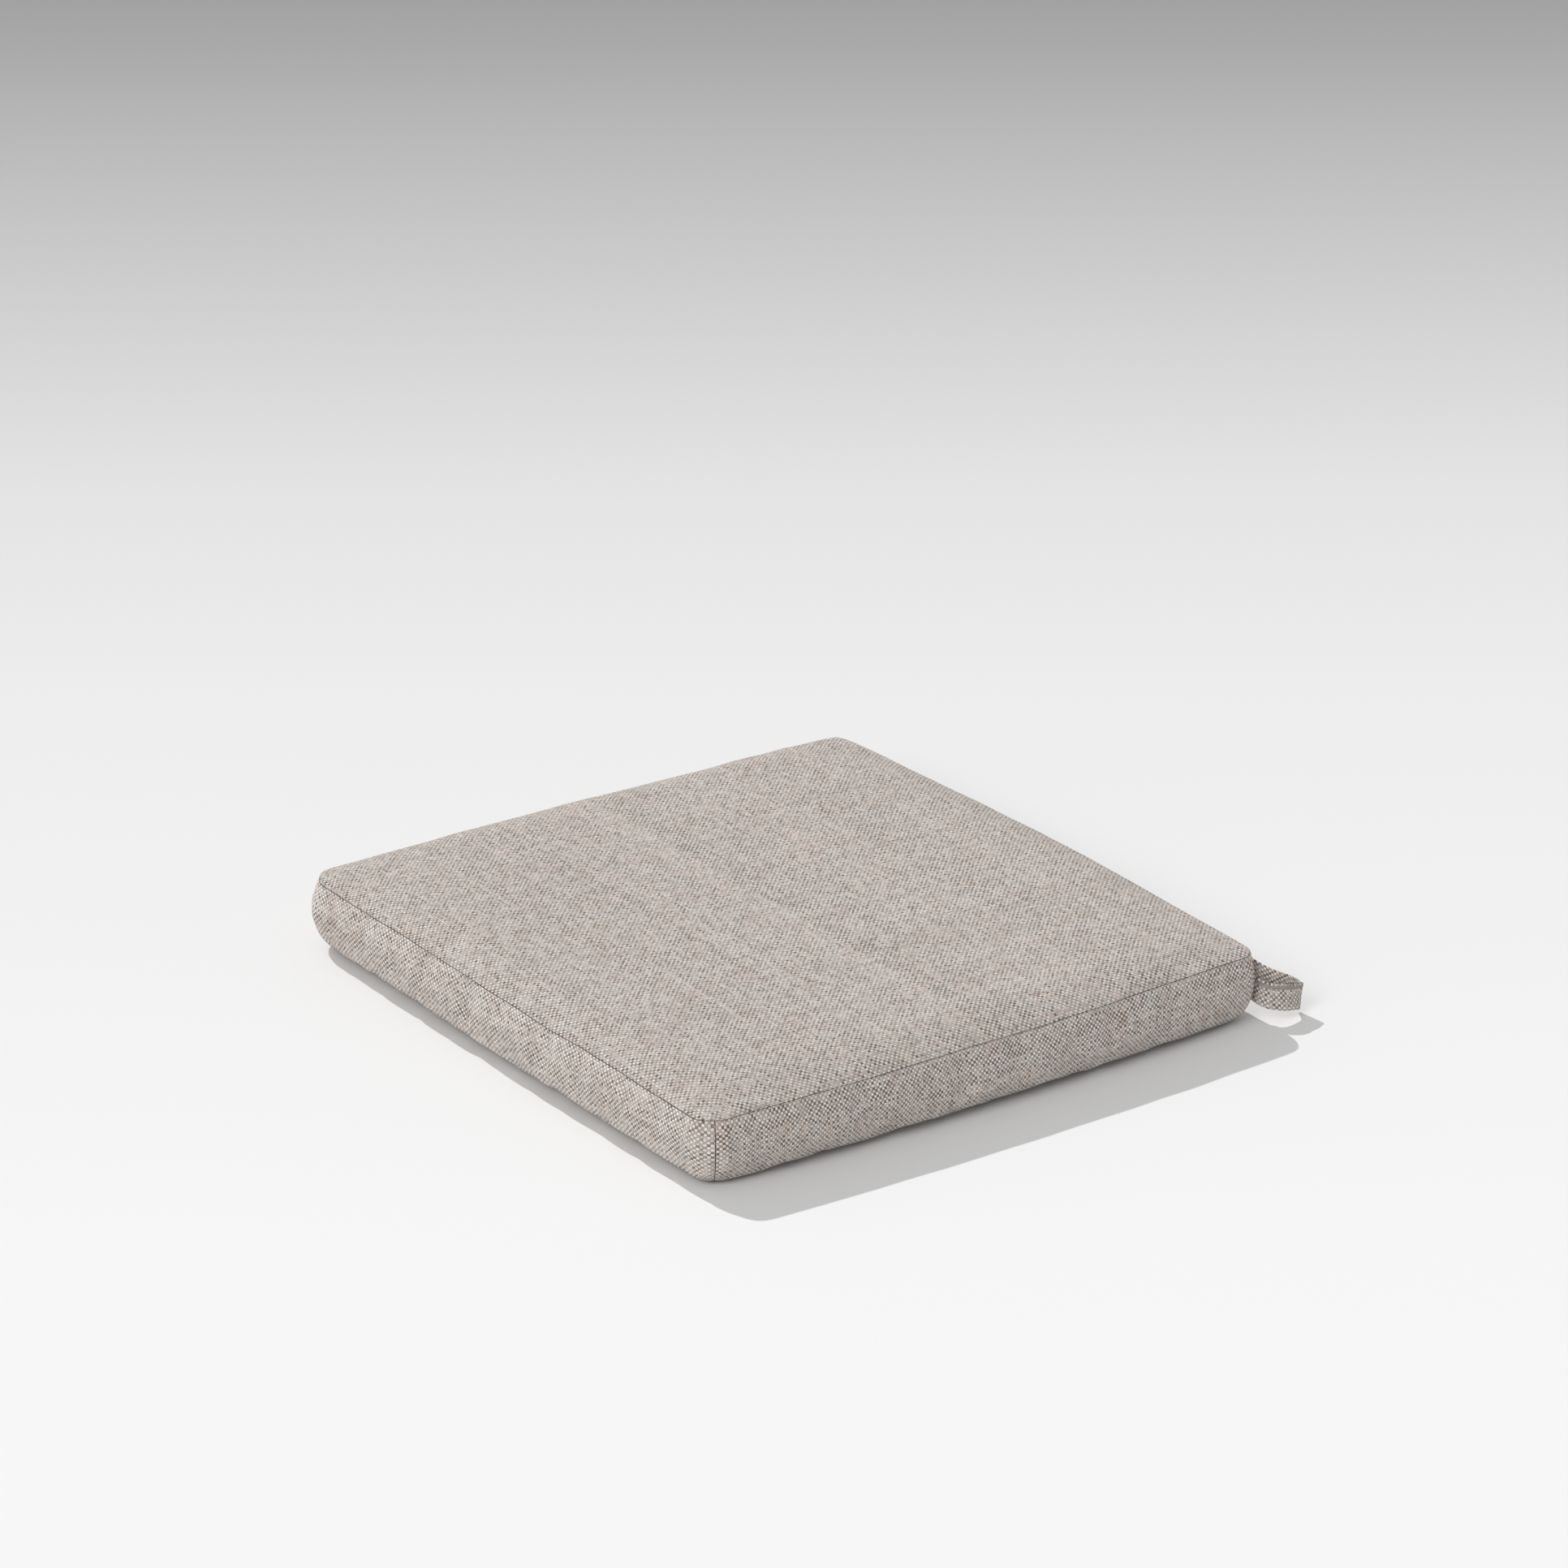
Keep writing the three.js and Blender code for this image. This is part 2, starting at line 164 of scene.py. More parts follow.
def section_curve(side, count):
    points = np.array(REAR_SECTION if side == REAR else SECTION) * MM
    dense = resample(points, np.linspace(0, len(points) - 1, 400), 0)
    steps = np.linalg.norm(np.diff(dense, axis=0), axis=1)
    along = np.concatenate([[0], np.cumsum(steps)])
    want = np.linspace(0, along[-1], count)
    return np.stack([np.interp(want, along, dense[:, k]) for k in range(2)], 1), want


def boxing_side(side):
    """One side of the boxing as a grid of points, rows upwards, and its flat cloth coordinates."""
    place, normal, along = side_outline(side, FRACTIONS)
    top = seam_height(side, FRACTIONS)
    bow = BOWS[side] * np.sin(np.pi * FRACTIONS)
    wander = 0.5 * MM * smooth_noise(FRACTIONS, 60 + side, longest=0.45) * np.sin(np.pi * FRACTIONS)
    section, up = section_curve(side, ROWS + 1)
    corner_weight = np.abs(2 * FRACTIONS - 1) ** 12
    plump = np.where(FRACTIONS < 0.5, CORNER_PLUMP[side], CORNER_PLUMP[(side + 1) % 4]) * corner_weight
    grid = np.zeros((ROWS + 1, CELLS + 1, 3))
    cloth = np.zeros((ROWS + 1, CELLS + 1, 2))
    plain = np.array(CORNER_SECTION) * MM
    for r, (height, stand) in enumerate(section):
        share = height / (SECTION_TOP * MM)
        corner_stand = np.interp(height, plain[1:, 0], plain[1:, 1]) if r else plain[0, 1]
        out = stand + (corner_stand - stand) * corner_weight + bow
        out += plump * math.sin(math.pi * min(share, 1.0)) ** 1.5
        if side == REAR:
            out = out + REAR_SEAM_BOW * np.sin(np.pi * FRACTIONS) * max(0.0, 2 * share - 1) ** 2
        else:
            out = out + wander * share
        grid[r, :, :2] = place + normal * out[:, None]
        follow = np.full(CELLS + 1, share)
        if side == REAR:
            above_zip = max(0.0, (height / MM - ZIP_TOP) / (SECTION_TOP - ZIP_TOP))
            follow = above_zip + (share - above_zip) * corner_weight
        grid[r, :, 2] = height + (top - SECTION_TOP * MM) * follow
        cloth[r, :, 0] = along
        cloth[r, :, 1] = up[r]
    return grid, cloth


def coons(front, right, rear, left):
    """A square grid of points between four edges. Entry [j, i] runs i to the right and j rearwards."""
    u = FRACTIONS[None, :, None]
    v = FRACTIONS[:, None, None]
    edges = (1 - v) * front[None] + v * rear[None] + (1 - u) * left[:, None] + u * right[:, None]
    corners = ((1 - u) * (1 - v) * front[0] + u * (1 - v) * front[-1]
               + (1 - u) * v * rear[0] + u * v * rear[-1])
    return edges - corners


def edge_distance(grid):
    """Distance from the panel's edge in plan, rounded off where two sides meet."""
    x = HALF_WIDTH + SIDE_BOW * 0.8 - np.abs(grid[..., 0])
    y = np.minimum(grid[..., 1] - FRONT_Y + FRONT_BOW, REAR_Y - grid[..., 1] + REAR_SEAM_BOW * 0.5)
    near = np.maximum(np.minimum(x, y), 0)
    soften = 10 * MM
    blend = np.clip((soften * 2 - np.abs(x - y)) / (soften * 4), 0, 1)
    return np.maximum(near - soften * blend ** 2, 0)


TOP_LEVEL = 46.5 * MM               # what the top settles to, away from the seam
SETTLE_REACH = 45 * MM
PUFF = 6.2 * MM                     # how far the cloth swells up just inside the seam
PUFF_REACH = 13 * MM
DOME = 2.2 * MM                     # the middle's extra height
FLOOR_GAP = 0.3 * MM
HEM_FLAT = 6 * MM                   # the bottom keeps its edge height this far in
HEM_REACH = 11 * MM


def build_cover():
    """The cover before it is filled: two panels and four sides that share their edges."""
    sides = [boxing_side(side) for side in range(4)]
    grids = [grid for grid, _ in sides]
    for side in range(4):
        following = (side + 1) % 4
        shared = (grids[side][:, -1] + grids[following][:, 0]) / 2
        grids[side][:, -1] = shared
        grids[following][:, 0] = shared
    top = coons(grids[FRONT][-1], grids[RIGHT][-1], grids[REAR][-1][::-1], grids[LEFT][-1][::-1])
    bottom = coons(grids[FRONT][0], grids[RIGHT][0], grids[REAR][0][::-1], grids[LEFT][0][::-1])
    distance = edge_distance(top)
    settle = 1 - np.exp(-distance / SETTLE_REACH)
    top[..., 2] += (TOP_LEVEL - top[..., 2]) * settle
    dome = 1 - (top[..., 0] / HALF_WIDTH) ** 2 * 0.5 - (top[..., 1] / REAR_Y) ** 2 * 0.5
    top[..., 2] += PUFF * (1 - np.exp(-distance / PUFF_REACH)) + DOME * dome * settle
    rest = np.clip(edge_distance(bottom) - HEM_FLAT, 0, None)
    bottom[..., 2] = FLOOR_GAP + (bottom[..., 2] - FLOOR_GAP) * np.exp(-(rest / HEM_REACH) ** 1.5)
    for grid in (top, bottom, *grids):
        across = np.clip(grid[..., 0] / HALF_WIDTH, 0, 1)
        back = np.clip(0.5 + grid[..., 1] / (2 * REAR_Y), 0, 1)
        grid[..., 0] -= REAR_PULL * across * back ** 3
    return {
        "top": top,
        "bottom": bottom,
        "sides": grids,
        "cloth": [cloth for _, cloth in sides],
        "flat_top": top[..., :2].copy(),
        "flat_bottom": bottom[..., :2].copy(),
    }


# ---- filling the cover by cloth simulation ----

PRESSURE = 4.0
FRAMES = 20
TOP_CAP = 3.0 * MM                  # how far a point may move
SIDE_CAP = 2.0 * MM
SMOOTHING = 6                       # passes that calm the top's finest wrinkles


def border(grid):
    """The grid's edge as one loop, in the order of the four sides, each without its last entry."""
    return np.concatenate([grid[0, :-1], grid[:-1, -1], grid[-1, :0:-1], grid[:0:-1, 0]])


def cover_indices():
    """Vertex numbers of the closed cover: top grid, bottom grid and boxing rows that share loops."""
    side = CELLS + 1
    top = np.arange(side * side).reshape(side, side)
    bottom = top + side * side
    loops = np.zeros((ROWS + 1, 4 * CELLS), int)
    loops[ROWS] = border(top)
    loops[0] = border(bottom)
    first = 2 * side * side
    loops[1:ROWS] = first + np.arange((ROWS - 1) * 4 * CELLS).reshape(ROWS - 1, -1)
    return top, bottom, loops


def grid_quads(index, flip=False):
    quads = np.stack([index[:-1, :-1], index[:-1, 1:], index[1:, 1:], index[1:, :-1]], -1)
    quads = quads.reshape(-1, 4)
    return quads[:, ::-1] if flip else quads


def new_mesh(name, points, faces):
    mesh = bpy.data.meshes.new(name)
    mesh.from_pydata(np.asarray(points).tolist(), [], np.asarray(faces).tolist())
    mesh.update()
    piece = bpy.data.objects.new(name, mesh)
    bpy.context.scene.collection.objects.link(piece)
    return piece


def relaxed(field, passes):
    """A field over a grid, averaged with its neighbours inside the grid's edge."""
    for _ in range(passes):
        around = (field[:-2, 1:-1] + field[2:, 1:-1] + field[1:-1, :-2] + field[1:-1, 2:]) / 4
        field[1:-1, 1:-1] = (field[1:-1, 1:-1] + around) / 2
    return field


def fill_cover(cover):
    """Blows the cover up a little between its sewn edges and keeps the cloth's own creases."""
    top, bottom, loops = cover_indices()
    ring = np.concatenate([grid[:, :-1] for grid in cover["sides"]], 1)
    points = np.zeros((loops.max() + 1, 3))
    points[top] = cover["top"]
    points[bottom] = cover["bottom"]
    points[loops[1:ROWS]] = ring[1:ROWS]
    closed = np.concatenate([loops, loops[:, :1]], 1)
    faces = np.concatenate([grid_quads(top), grid_quads(bottom, True), grid_quads(closed)])
    piece = new_mesh("cloth_run", points, faces)
    hold = np.full(len(points), 0.12)
    hold[bottom] = 1.0
    hold[loops[0]] = 1.0
    hold[loops[ROWS]] = 1.0
    rear_columns = loops[:, 2 * CELLS:3 * CELLS + 1]
    hold[rear_columns[1:ROWS]] = 0.9
    corner_columns = loops[:, [0, CELLS]]
    hold[corner_columns[1:ROWS]] = 0.9
    group = piece.vertex_groups.new(name="hold")
    for level in np.unique(hold):
        group.add(np.flatnonzero(hold == level).tolist(), float(level), "REPLACE")
    cloth = piece.modifiers.new("cloth", "CLOTH")
    settings = cloth.settings
    settings.quality = 6
    settings.mass = 0.15
    settings.tension_stiffness = 12
    settings.compression_stiffness = 12
    settings.shear_stiffness = 4
    settings.bending_stiffness = 0.6
    settings.use_pressure = True
    settings.uniform_pressure_force = PRESSURE
    settings.vertex_group_mass = "hold"
    settings.pin_stiffness = 0.8
    settings.shrink_min = -0.008
    settings.effector_weights.gravity = 0
    cloth.collision_settings.use_collision = False
    cloth.point_cache.frame_start = 1
    cloth.point_cache.frame_end = FRAMES
    scene = bpy.context.scene
    for step in range(1, FRAMES + 1):
        scene.frame_set(step)
    filled = piece.evaluated_get(bpy.context.evaluated_depsgraph_get()).to_mesh()
    result = np.zeros(len(points) * 3)
    filled.vertices.foreach_get("co", result)
    result = result.reshape(-1, 3)
    bpy.data.objects.remove(piece)
    scene.frame_set(1)
    move = result - points
    cap = np.full(len(points), SIDE_CAP)
    cap[top] = TOP_CAP
    length = np.linalg.norm(move, axis=1)
    move *= (np.minimum(length, cap) / np.maximum(length, 1e-9))[:, None]
    move[top] = relaxed(move[top], SMOOTHING)
    result = points + move
    print("cloth moved: largest %.2f mm, mean %.2f mm" % (length.max() / MM, length.mean() / MM))
    cover["top"] = result[top]
    cover["bottom"] = result[bottom]
    full = result[closed]
    cover["sides"] = [full[:, k * CELLS:(k + 1) * CELLS + 1] for k in range(4)]


# ---- panels as pieces ----

SEAM_GAP = 0.3 * MM                # each panel stops this far short of the seam line
TURN_IN = [(0.12, 0.4), (0.3, 1.3), (0.35, 3.0)]     # the turned-in edge: away from the seam, inwards
EDGE_LINES = [0.0, 0.12, 0.3, 0.6]
CLOTH_THICKNESS = 0.7 * MM


def fine_lines(start, end):
    """Places along an axis: close together at both edges, and evenly in between."""
    inner = np.arange(math.floor(start) + 1, end, 1 / SUBDIVIDE)
    inner = inner[(inner > start + 0.75) & (inner < end - 0.75)]
    edge = np.array(EDGE_LINES)
    return np.concatenate([start + edge, inner, end - edge[::-1]])


def towards_core(points):
    """Unit vectors from points on the cover to the filling inside."""
    margin = 22 * MM
    core = points.copy()
    core[..., 0] = np.clip(core[..., 0], -HALF_WIDTH + margin, HALF_WIDTH - margin)
    core[..., 1] = np.clip(core[..., 1], FRONT_Y + margin, REAR_Y - margin)
    core[..., 2] = np.clip(core[..., 2], 20 * MM, 27 * MM)
    away = core - points
    return away / np.maximum(np.linalg.norm(away, axis=-1), 1e-9)[..., None]


def turned_rings(grid, cloth):
    """The grid with its edge pulled back from the seam and turned in, as wider arrays."""
    rings = []
    grid = grid.copy()
    for axis in (0, 1):
        g = np.moveaxis(grid, axis, 0)
        for edge, inner in ((0, 1), (-1, -2)):
            step = g[inner] - g[edge]
            length = np.maximum(np.linalg.norm(step, axis=-1), 1e-9)[..., None]
            g[edge] += step / length * np.minimum(SEAM_GAP, 0.6 * length)
    loop = border(grid)
    loop_cloth = border(cloth)
    inward = towards_core(loop)
    inner_loop = border(np.pad(grid[1:-1, 1:-1], ((1, 1), (1, 1), (0, 0)), mode="edge"))
    centre_step = inner_loop - loop
    centre_step /= np.maximum(np.linalg.norm(centre_step, axis=1), 1e-9)[:, None]
    for away, depth in TURN_IN:
        rings.append(loop + centre_step * away * MM + inward * depth * MM)
    return grid, rings, loop_cloth


def panel(name, grid, cloth, look, rows=None, columns=None, flip=False):
    """One cut piece of the cover, from a stretch of a coarse grid, with its edges turned in."""
    rows = rows or (0, grid.shape[0] - 1)
    columns = columns or (0, grid.shape[1] - 1)
    row_lines = fine_lines(*rows)
    column_lines = fine_lines(*columns)
    fine = resample(resample(grid, row_lines, 0), column_lines, 1)
    fine_cloth = resample(resample(cloth, row_lines, 0), column_lines, 1)
    fine, rings, ring_cloth = turned_rings(fine, fine_cloth)
    index = np.arange(fine.shape[0] * fine.shape[1]).reshape(fine.shape[:2])
    points = [fine.reshape(-1, 3)]
    coordinates = [fine_cloth.reshape(-1, 2)]
    faces = [grid_quads(index, flip)]
    outer = border(index)
    next_number = index.size
    for ring in rings:
        inner = next_number + np.arange(len(ring))
        next_number += len(ring)
        points.append(ring)
        coordinates.append(ring_cloth)
        quads = np.stack([inner, np.roll(inner, -1), np.roll(outer, -1), outer], -1)
        faces.append(quads[:, ::-1] if flip else quads)
        outer = inner
    piece = new_mesh(name, np.concatenate(points), np.concatenate(faces))
    lay_cloth(piece, np.concatenate(coordinates))
    thicken(piece, CLOTH_THICKNESS)
    finish_piece(piece, BODY, "cover", look, name)
    return piece


def lay_cloth(piece, coordinates):
    """Stores each point's place on the flat cloth, in metres, as a UV map."""
    layer = piece.data.uv_layers.new(name="Cloth")
    corners = np.zeros(len(piece.data.loops), int)
    piece.data.loops.foreach_get("vertex_index", corners)
    layer.data.foreach_set("uv", coordinates[corners].ravel())


def thicken(piece, thickness):
    solid = piece.modifiers.new("thickness", "SOLIDIFY")
    solid.thickness = thickness
    solid.offset = -1
    solid.use_even_offset = False


def finish_piece(piece, body, slot, material, *nodes):
    piece.data.materials.append(material)
    piece.data.shade_smooth()
    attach(piece, body)
    if nodes:
        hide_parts(*nodes)


# ---- materials ----

class Shader:
    """A few short calls for building a node tree."""

    def __init__(self, name):
        self.material = bpy.data.materials.new(name)
        self.material.use_nodes = True
        self.tree = self.material.node_tree
        self.bsdf = self.tree.nodes["Principled BSDF"]

    def node(self, kind, **values):
        made = self.tree.nodes.new("ShaderNode" + kind)
        for key, value in values.items():
            setattr(made, key, value)
        return made

    def link(self, value, socket):
        if hasattr(value, "is_output"):
            self.tree.links.new(value, socket)
        else:
            socket.default_value = value

    def math(self, operation, *values, clamp=False):
        made = self.node("Math", operation=operation, use_clamp=clamp)
        for value, socket in zip(values, made.inputs):
            self.link(value, socket)
        return made.outputs[0]

    def math_vector(self, operation, *values):
        made = self.node("VectorMath", operation=operation)
        for value, socket in zip(values, made.inputs):
            self.link(value, socket)
        return made.outputs[0]

    def mix(self, factor, a, b, blend="MIX"):
        made = self.node("Mix", data_type="RGBA", blend_type=blend)
        self.link(factor, made.inputs["Factor"])
        self.link(a, made.inputs[6])
        self.link(b, made.inputs[7])
        return made.outputs[2]

    def lerp(self, factor, a, b):
        made = self.node("Mix", data_type="FLOAT")
        self.link(factor, made.inputs["Factor"])
        self.link(a, made.inputs[2])
        self.link(b, made.inputs[3])
        return made.outputs[0]

    def combine(self, x, y, z=0.0):
        made = self.node("CombineXYZ")
        for value, socket in zip((x, y, z), made.inputs):
            self.link(value, socket)
        return made.outputs[0]

    def noise(self, vector, scale, detail=2.0, roughness=0.5):
        made = self.node("TexNoise")
        self.link(vector, made.inputs["Vector"])
        made.inputs["Scale"].default_value = scale
        made.inputs["Detail"].default_value = detail
        made.inputs["Roughness"].default_value = roughness
        return made.outputs["Fac"]

    def random(self, vector):
        made = self.node("TexWhiteNoise", noise_dimensions="3D")
        self.link(vector, made.inputs["Vector"])
        return made.outputs["Value"]

    def ramp(self, value, stops):
        made = self.node("ValToRGB")
        self.link(value, made.inputs["Fac"])
        elements = made.color_ramp.elements
        for place, colour in stops[2:]:
            elements.new(place)
        for element, (place, colour) in zip(elements, sorted(stops)):
            element.position = place
            element.color = (*colour, 1)
        return made.outputs["Color"]

    def bump(self, height, distance, strength=1.0):
        made = self.node("Bump")
        made.inputs["Strength"].default_value = strength
        made.inputs["Distance"].default_value = distance
        self.link(height, made.inputs["Height"])
        self.link(made.outputs["Normal"], self.bsdf.inputs["Normal"])

    def set(self, **values):
        for key, value in values.items():
            self.link(value, self.bsdf.inputs[key.replace("_", " ")])


# From the darkest yarns to the lightest.
YARN_COLOURS = [
    (0.00, (0.20, 0.166, 0.146)),
    (0.22, (0.425, 0.367, 0.332)),
    (0.45, (0.625, 0.548, 0.502)),
    (0.65, (0.745, 0.66, 0.61)),
    (0.82, (0.825, 0.748, 0.697)),
    (1.00, (0.925, 0.865, 0.83)),
]


def weave_material(name, pitch, painted_shade_contrast, tone_with_painted_light):
    """A coarse plain weave of mixed beige and grey yarns: light knots between darker ones, with painted
    shade between the yarns and on the weft floats.
    """
    s = Shader(name)
    cloth = s.node("UVMap", uv_map="Cloth").outputs["UV"]
    parts = s.node("SeparateXYZ")
    s.link(cloth, parts.inputs[0])
    drift_a = s.noise(cloth, 60, 1)
    drift_b = s.noise(s.math_vector("ADD", cloth, (5.0, 3.0, 0.0)), 60, 1)
    a = s.math("MULTIPLY_ADD", drift_a, 0.5, s.math("DIVIDE", parts.outputs[0], pitch[0] * MM))
    b = s.math("MULTIPLY_ADD", drift_b, 0.5, s.math("DIVIDE", parts.outputs[1], pitch[1] * MM))
    column = s.math("FLOOR", a)
    row = s.math("FLOOR", b)
    in_a = s.math("SUBTRACT", s.math("SUBTRACT", a, column), 0.5)
    in_b = s.math("SUBTRACT", s.math("SUBTRACT", b, row), 0.5)
    weft = s.math("FLOORED_MODULO", s.math("ADD", column, row), 2.0)
    across = s.lerp(weft, in_a, in_b)
    along = s.lerp(weft, in_b, in_a)
    yarn = s.lerp(weft, column, s.math("ADD", row, 977.0))
    travel = s.lerp(weft, b, a)

    # the yarn's round back, highest in the middle of each float
    back = s.math("MULTIPLY_ADD", s.math("MULTIPLY", across, across), -3.6, 1.0)
    arch = s.math("COSINE", s.math("MULTIPLY", along, math.pi))
    height = s.math("MULTIPLY", s.math("POWER", s.math("MAXIMUM", back, 0.0), 0.6),
                    s.math("MULTIPLY_ADD", arch, 0.72, 0.28))
    fuzz = s.noise(cloth, 3200, 3, 0.7)

    # each yarn has its own shade, which drifts along its length
    own = s.random(s.combine(yarn, 3.0))
    slub = s.noise(s.combine(s.math("MULTIPLY", yarn, 7.13), s.math("MULTIPLY", travel, 0.16)), 1.0, 2)
    cell = s.random(s.combine(column, row, 5.0))
    shade = s.math("MULTIPLY_ADD", own, 0.20, s.math("MULTIPLY_ADD", slub, 0.9, -0.02))
    shade = s.math("ADD", shade, s.math("MULTIPLY_ADD", cell, 0.40, -0.20))
    # painted shade: the contrast makes the weft floats darker than the warp floats, as the shade their
    # other lie gets
    shade = s.math("ADD", shade, s.math("MULTIPLY_ADD", weft, -painted_shade_contrast, painted_shade_contrast / 2))
    speck = s.math("GREATER_THAN", s.random(s.combine(column, row, 8.0)), 0.985)
    shade = s.math("MULTIPLY_ADD", speck, -0.2, shade)
    colour = s.ramp(shade, YARN_COLOURS)
    hue = s.random(s.combine(yarn, s.math("FLOOR", s.math("MULTIPLY", travel, 0.12)), 9.0))
    cool = s.math("GREATER_THAN", hue, 0.72)
    colour = s.mix(s.math("MULTIPLY", cool, 0.55), colour, (0.93, 1.0, 1.0, 1), "MULTIPLY")
    warm = s.math("LESS_THAN", hue, 0.3)
    colour = s.mix(s.math("MULTIPLY", warm, 0.55), colour, (1.0, 0.94, 0.88, 1), "MULTIPLY")

    # light gets lost between the yarns
    gap = s.math("POWER", s.math("MAXIMUM", height, 0.0), 0.55, clamp=True)
    depth = 0.3 + painted_shade_contrast / 2
    # the tone carries painted light: it lifts the front's and the sides' copies above the top's
    shadow = s.math("MULTIPLY_ADD", gap, depth * tone_with_painted_light, (1 - depth) * tone_with_painted_light)
    colour = s.mix(1.0, colour, s.combine(shadow, shadow, shadow), "MULTIPLY")
    s.set(Base_Color=colour, Roughness=0.92)
    s.bsdf.inputs["Specular IOR Level"].default_value = 0.18
    s.bsdf.inputs["Sheen Weight"].default_value = 0.12
    s.bsdf.inputs["Sheen Roughness"].default_value = 0.5
    s.bump(s.math("MULTIPLY_ADD", fuzz, 0.35, height), 0.4 * MM, 0.8)
    return s.material


def wadding_material():
    s = Shader("wadding_fleece")
    place = s.node("TexCoord").outputs["Object"]
    fibres = s.noise(place, 260, 6, 0.75)
    s.set(Base_Color=s.ramp(fibres, [(0.3, (0.78, 0.77, 0.74)), (0.7, (0.93, 0.93, 0.91))]),
          Roughness=0.95)
    s.bump(fibres, 1.2 * MM)
    return s.material


def foam_material():
    s = Shader("foam_cells")
    place = s.node("TexCoord").outputs["Object"]
    cells = s.node("TexVoronoi")
    s.link(place, cells.inputs["Vector"])
    cells.inputs["Scale"].default_value = 900
    pore_shade_and_depth = cells.outputs["Distance"]
    # painted shade: the pores are darker towards their middles, where they are hollow; the same field gives
    # the bump
    s.set(Base_Color=s.ramp(pore_shade_and_depth, [(0.1, (0.62, 0.53, 0.34)), (0.6, (0.86, 0.78, 0.56))]),
          Roughness=0.95)
    s.bump(pore_shade_and_depth, 0.5 * MM)
    return s.material


def ribbed_material(name, light, dark, pitch):
    """A narrow woven tape with ribs along its length."""
    s = Shader(name)
    place = s.node("TexCoord").outputs["Object"]
    parts = s.node("SeparateXYZ")
    s.link(place, parts.inputs[0])
    ribs = s.math("SINE", s.math("MULTIPLY", parts.outputs[2], 2 * math.pi / pitch))
    picks = s.math("SINE", s.math("MULTIPLY", parts.outputs[0], 2 * math.pi / (pitch * 0.8)))
    height = s.math("MULTIPLY", ribs, picks)
    # painted shade: the tape is darker in the hollows between its ribs and picks, on top of a random drift
    # in its tone
    blend = s.math("ADD", s.math("MULTIPLY", height, 0.3), s.noise(place, 700, 3))
    s.set(Base_Color=s.ramp(blend, [(0.25, dark), (0.8, light)]), Roughness=0.85)
    s.bump(height, 0.12 * MM)
    return s.material


def nylon_material():
    s = Shader("zip_nylon")
    place = s.node("TexCoord").outputs["Object"]
    cloud = s.noise(place, 320, 3)
    s.set(Base_Color=s.ramp(cloud, [(0.3, (0.27, 0.24, 0.215)), (0.7, (0.37, 0.335, 0.30))]),
          Roughness=s.math("MULTIPLY_ADD", cloud, 0.2, 0.3))
    s.bump(cloud, 0.05 * MM)
    return s.material


def metal_material():
    s = Shader("satin_nickel")
    place = s.node("TexCoord").outputs["Object"]
    wear = s.noise(place, 450, 5, 0.6)
    s.set(Base_Color=s.ramp(wear, [(0.3, (0.42, 0.405, 0.38)), (0.7, (0.60, 0.59, 0.57))]),
          Roughness=s.math("MULTIPLY_ADD", wear, 0.25, 0.2))
    s.bsdf.inputs["Metallic"].default_value = 1.0
    s.bump(wear, 0.02 * MM)
    return s.material


# One weave in three copies. The front's copy (also on the rear) and the sides' copy (also on the straps)
# are painted lighter than the top's, standing in for light the lamps don't give those faces, and they have
# more contrast.
top_weave = weave_material("cover_weave_panels", (1.85, 1.85), 0.52, 0.915)
front_weave_painted_lighter = weave_material("cover_weave_front_painted_lighter", (1.85, 1.6), 0.62, 1.05)
side_weave_painted_lighter = weave_material("cover_weave_sides_painted_lighter", (1.6, 1.6), 0.68, 1.06)
wadding_look = wadding_material()
foam_look = foam_material()
tape_look = ribbed_material("zip_tape_weave", (0.42, 0.38, 0.34), (0.25, 0.225, 0.20), 0.7 * MM)
nylon_look = nylon_material()
metal_look = metal_material()


# ---- the cover ----

cover = build_cover()
fill_cover(cover)

CLOTH_SHIFT = 0.731                 # each panel is cut from another part of the cloth
TAPE_LAP = 1 * MM


def shifted(cloth, number):
    return cloth + np.array([CLOTH_SHIFT * number, 0.417 * number])


panel("top_panel", cover["top"], shifted(cover["flat_top"], 1), top_weave)
panel("bottom_panel", cover["bottom"], shifted(cover["flat_bottom"], 2), top_weave, flip=True)
panel("front_boxing", cover["sides"][FRONT], shifted(cover["cloth"][FRONT], 3), front_weave_painted_lighter)
panel("right_boxing", cover["sides"][RIGHT], shifted(cover["cloth"][RIGHT], 4), side_weave_painted_lighter)
panel("left_boxing", cover["sides"][LEFT], shifted(cover["cloth"][LEFT], 5), side_weave_painted_lighter)

rear = cover["sides"][REAR]
rear_cloth = shifted(cover["cloth"][REAR], 8)
_, band_high = (Vector(corner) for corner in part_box("rear_boxing_lower"))
upper_low, _ = (Vector(corner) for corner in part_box("rear_boxing_upper"))
tape_low, tape_high = (Vector(corner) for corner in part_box("zip_tape_lower"))
middle_heights = rear[:, CELLS // 2, 2]
rising = np.arange(2, ROWS + 1)
low_row = float(np.interp(band_high.z, middle_heights[rising], rising))
high_row = float(np.interp(upper_low.z, middle_heights[rising], rising))
rear_x = -rear[ROWS // 2, :, 0]
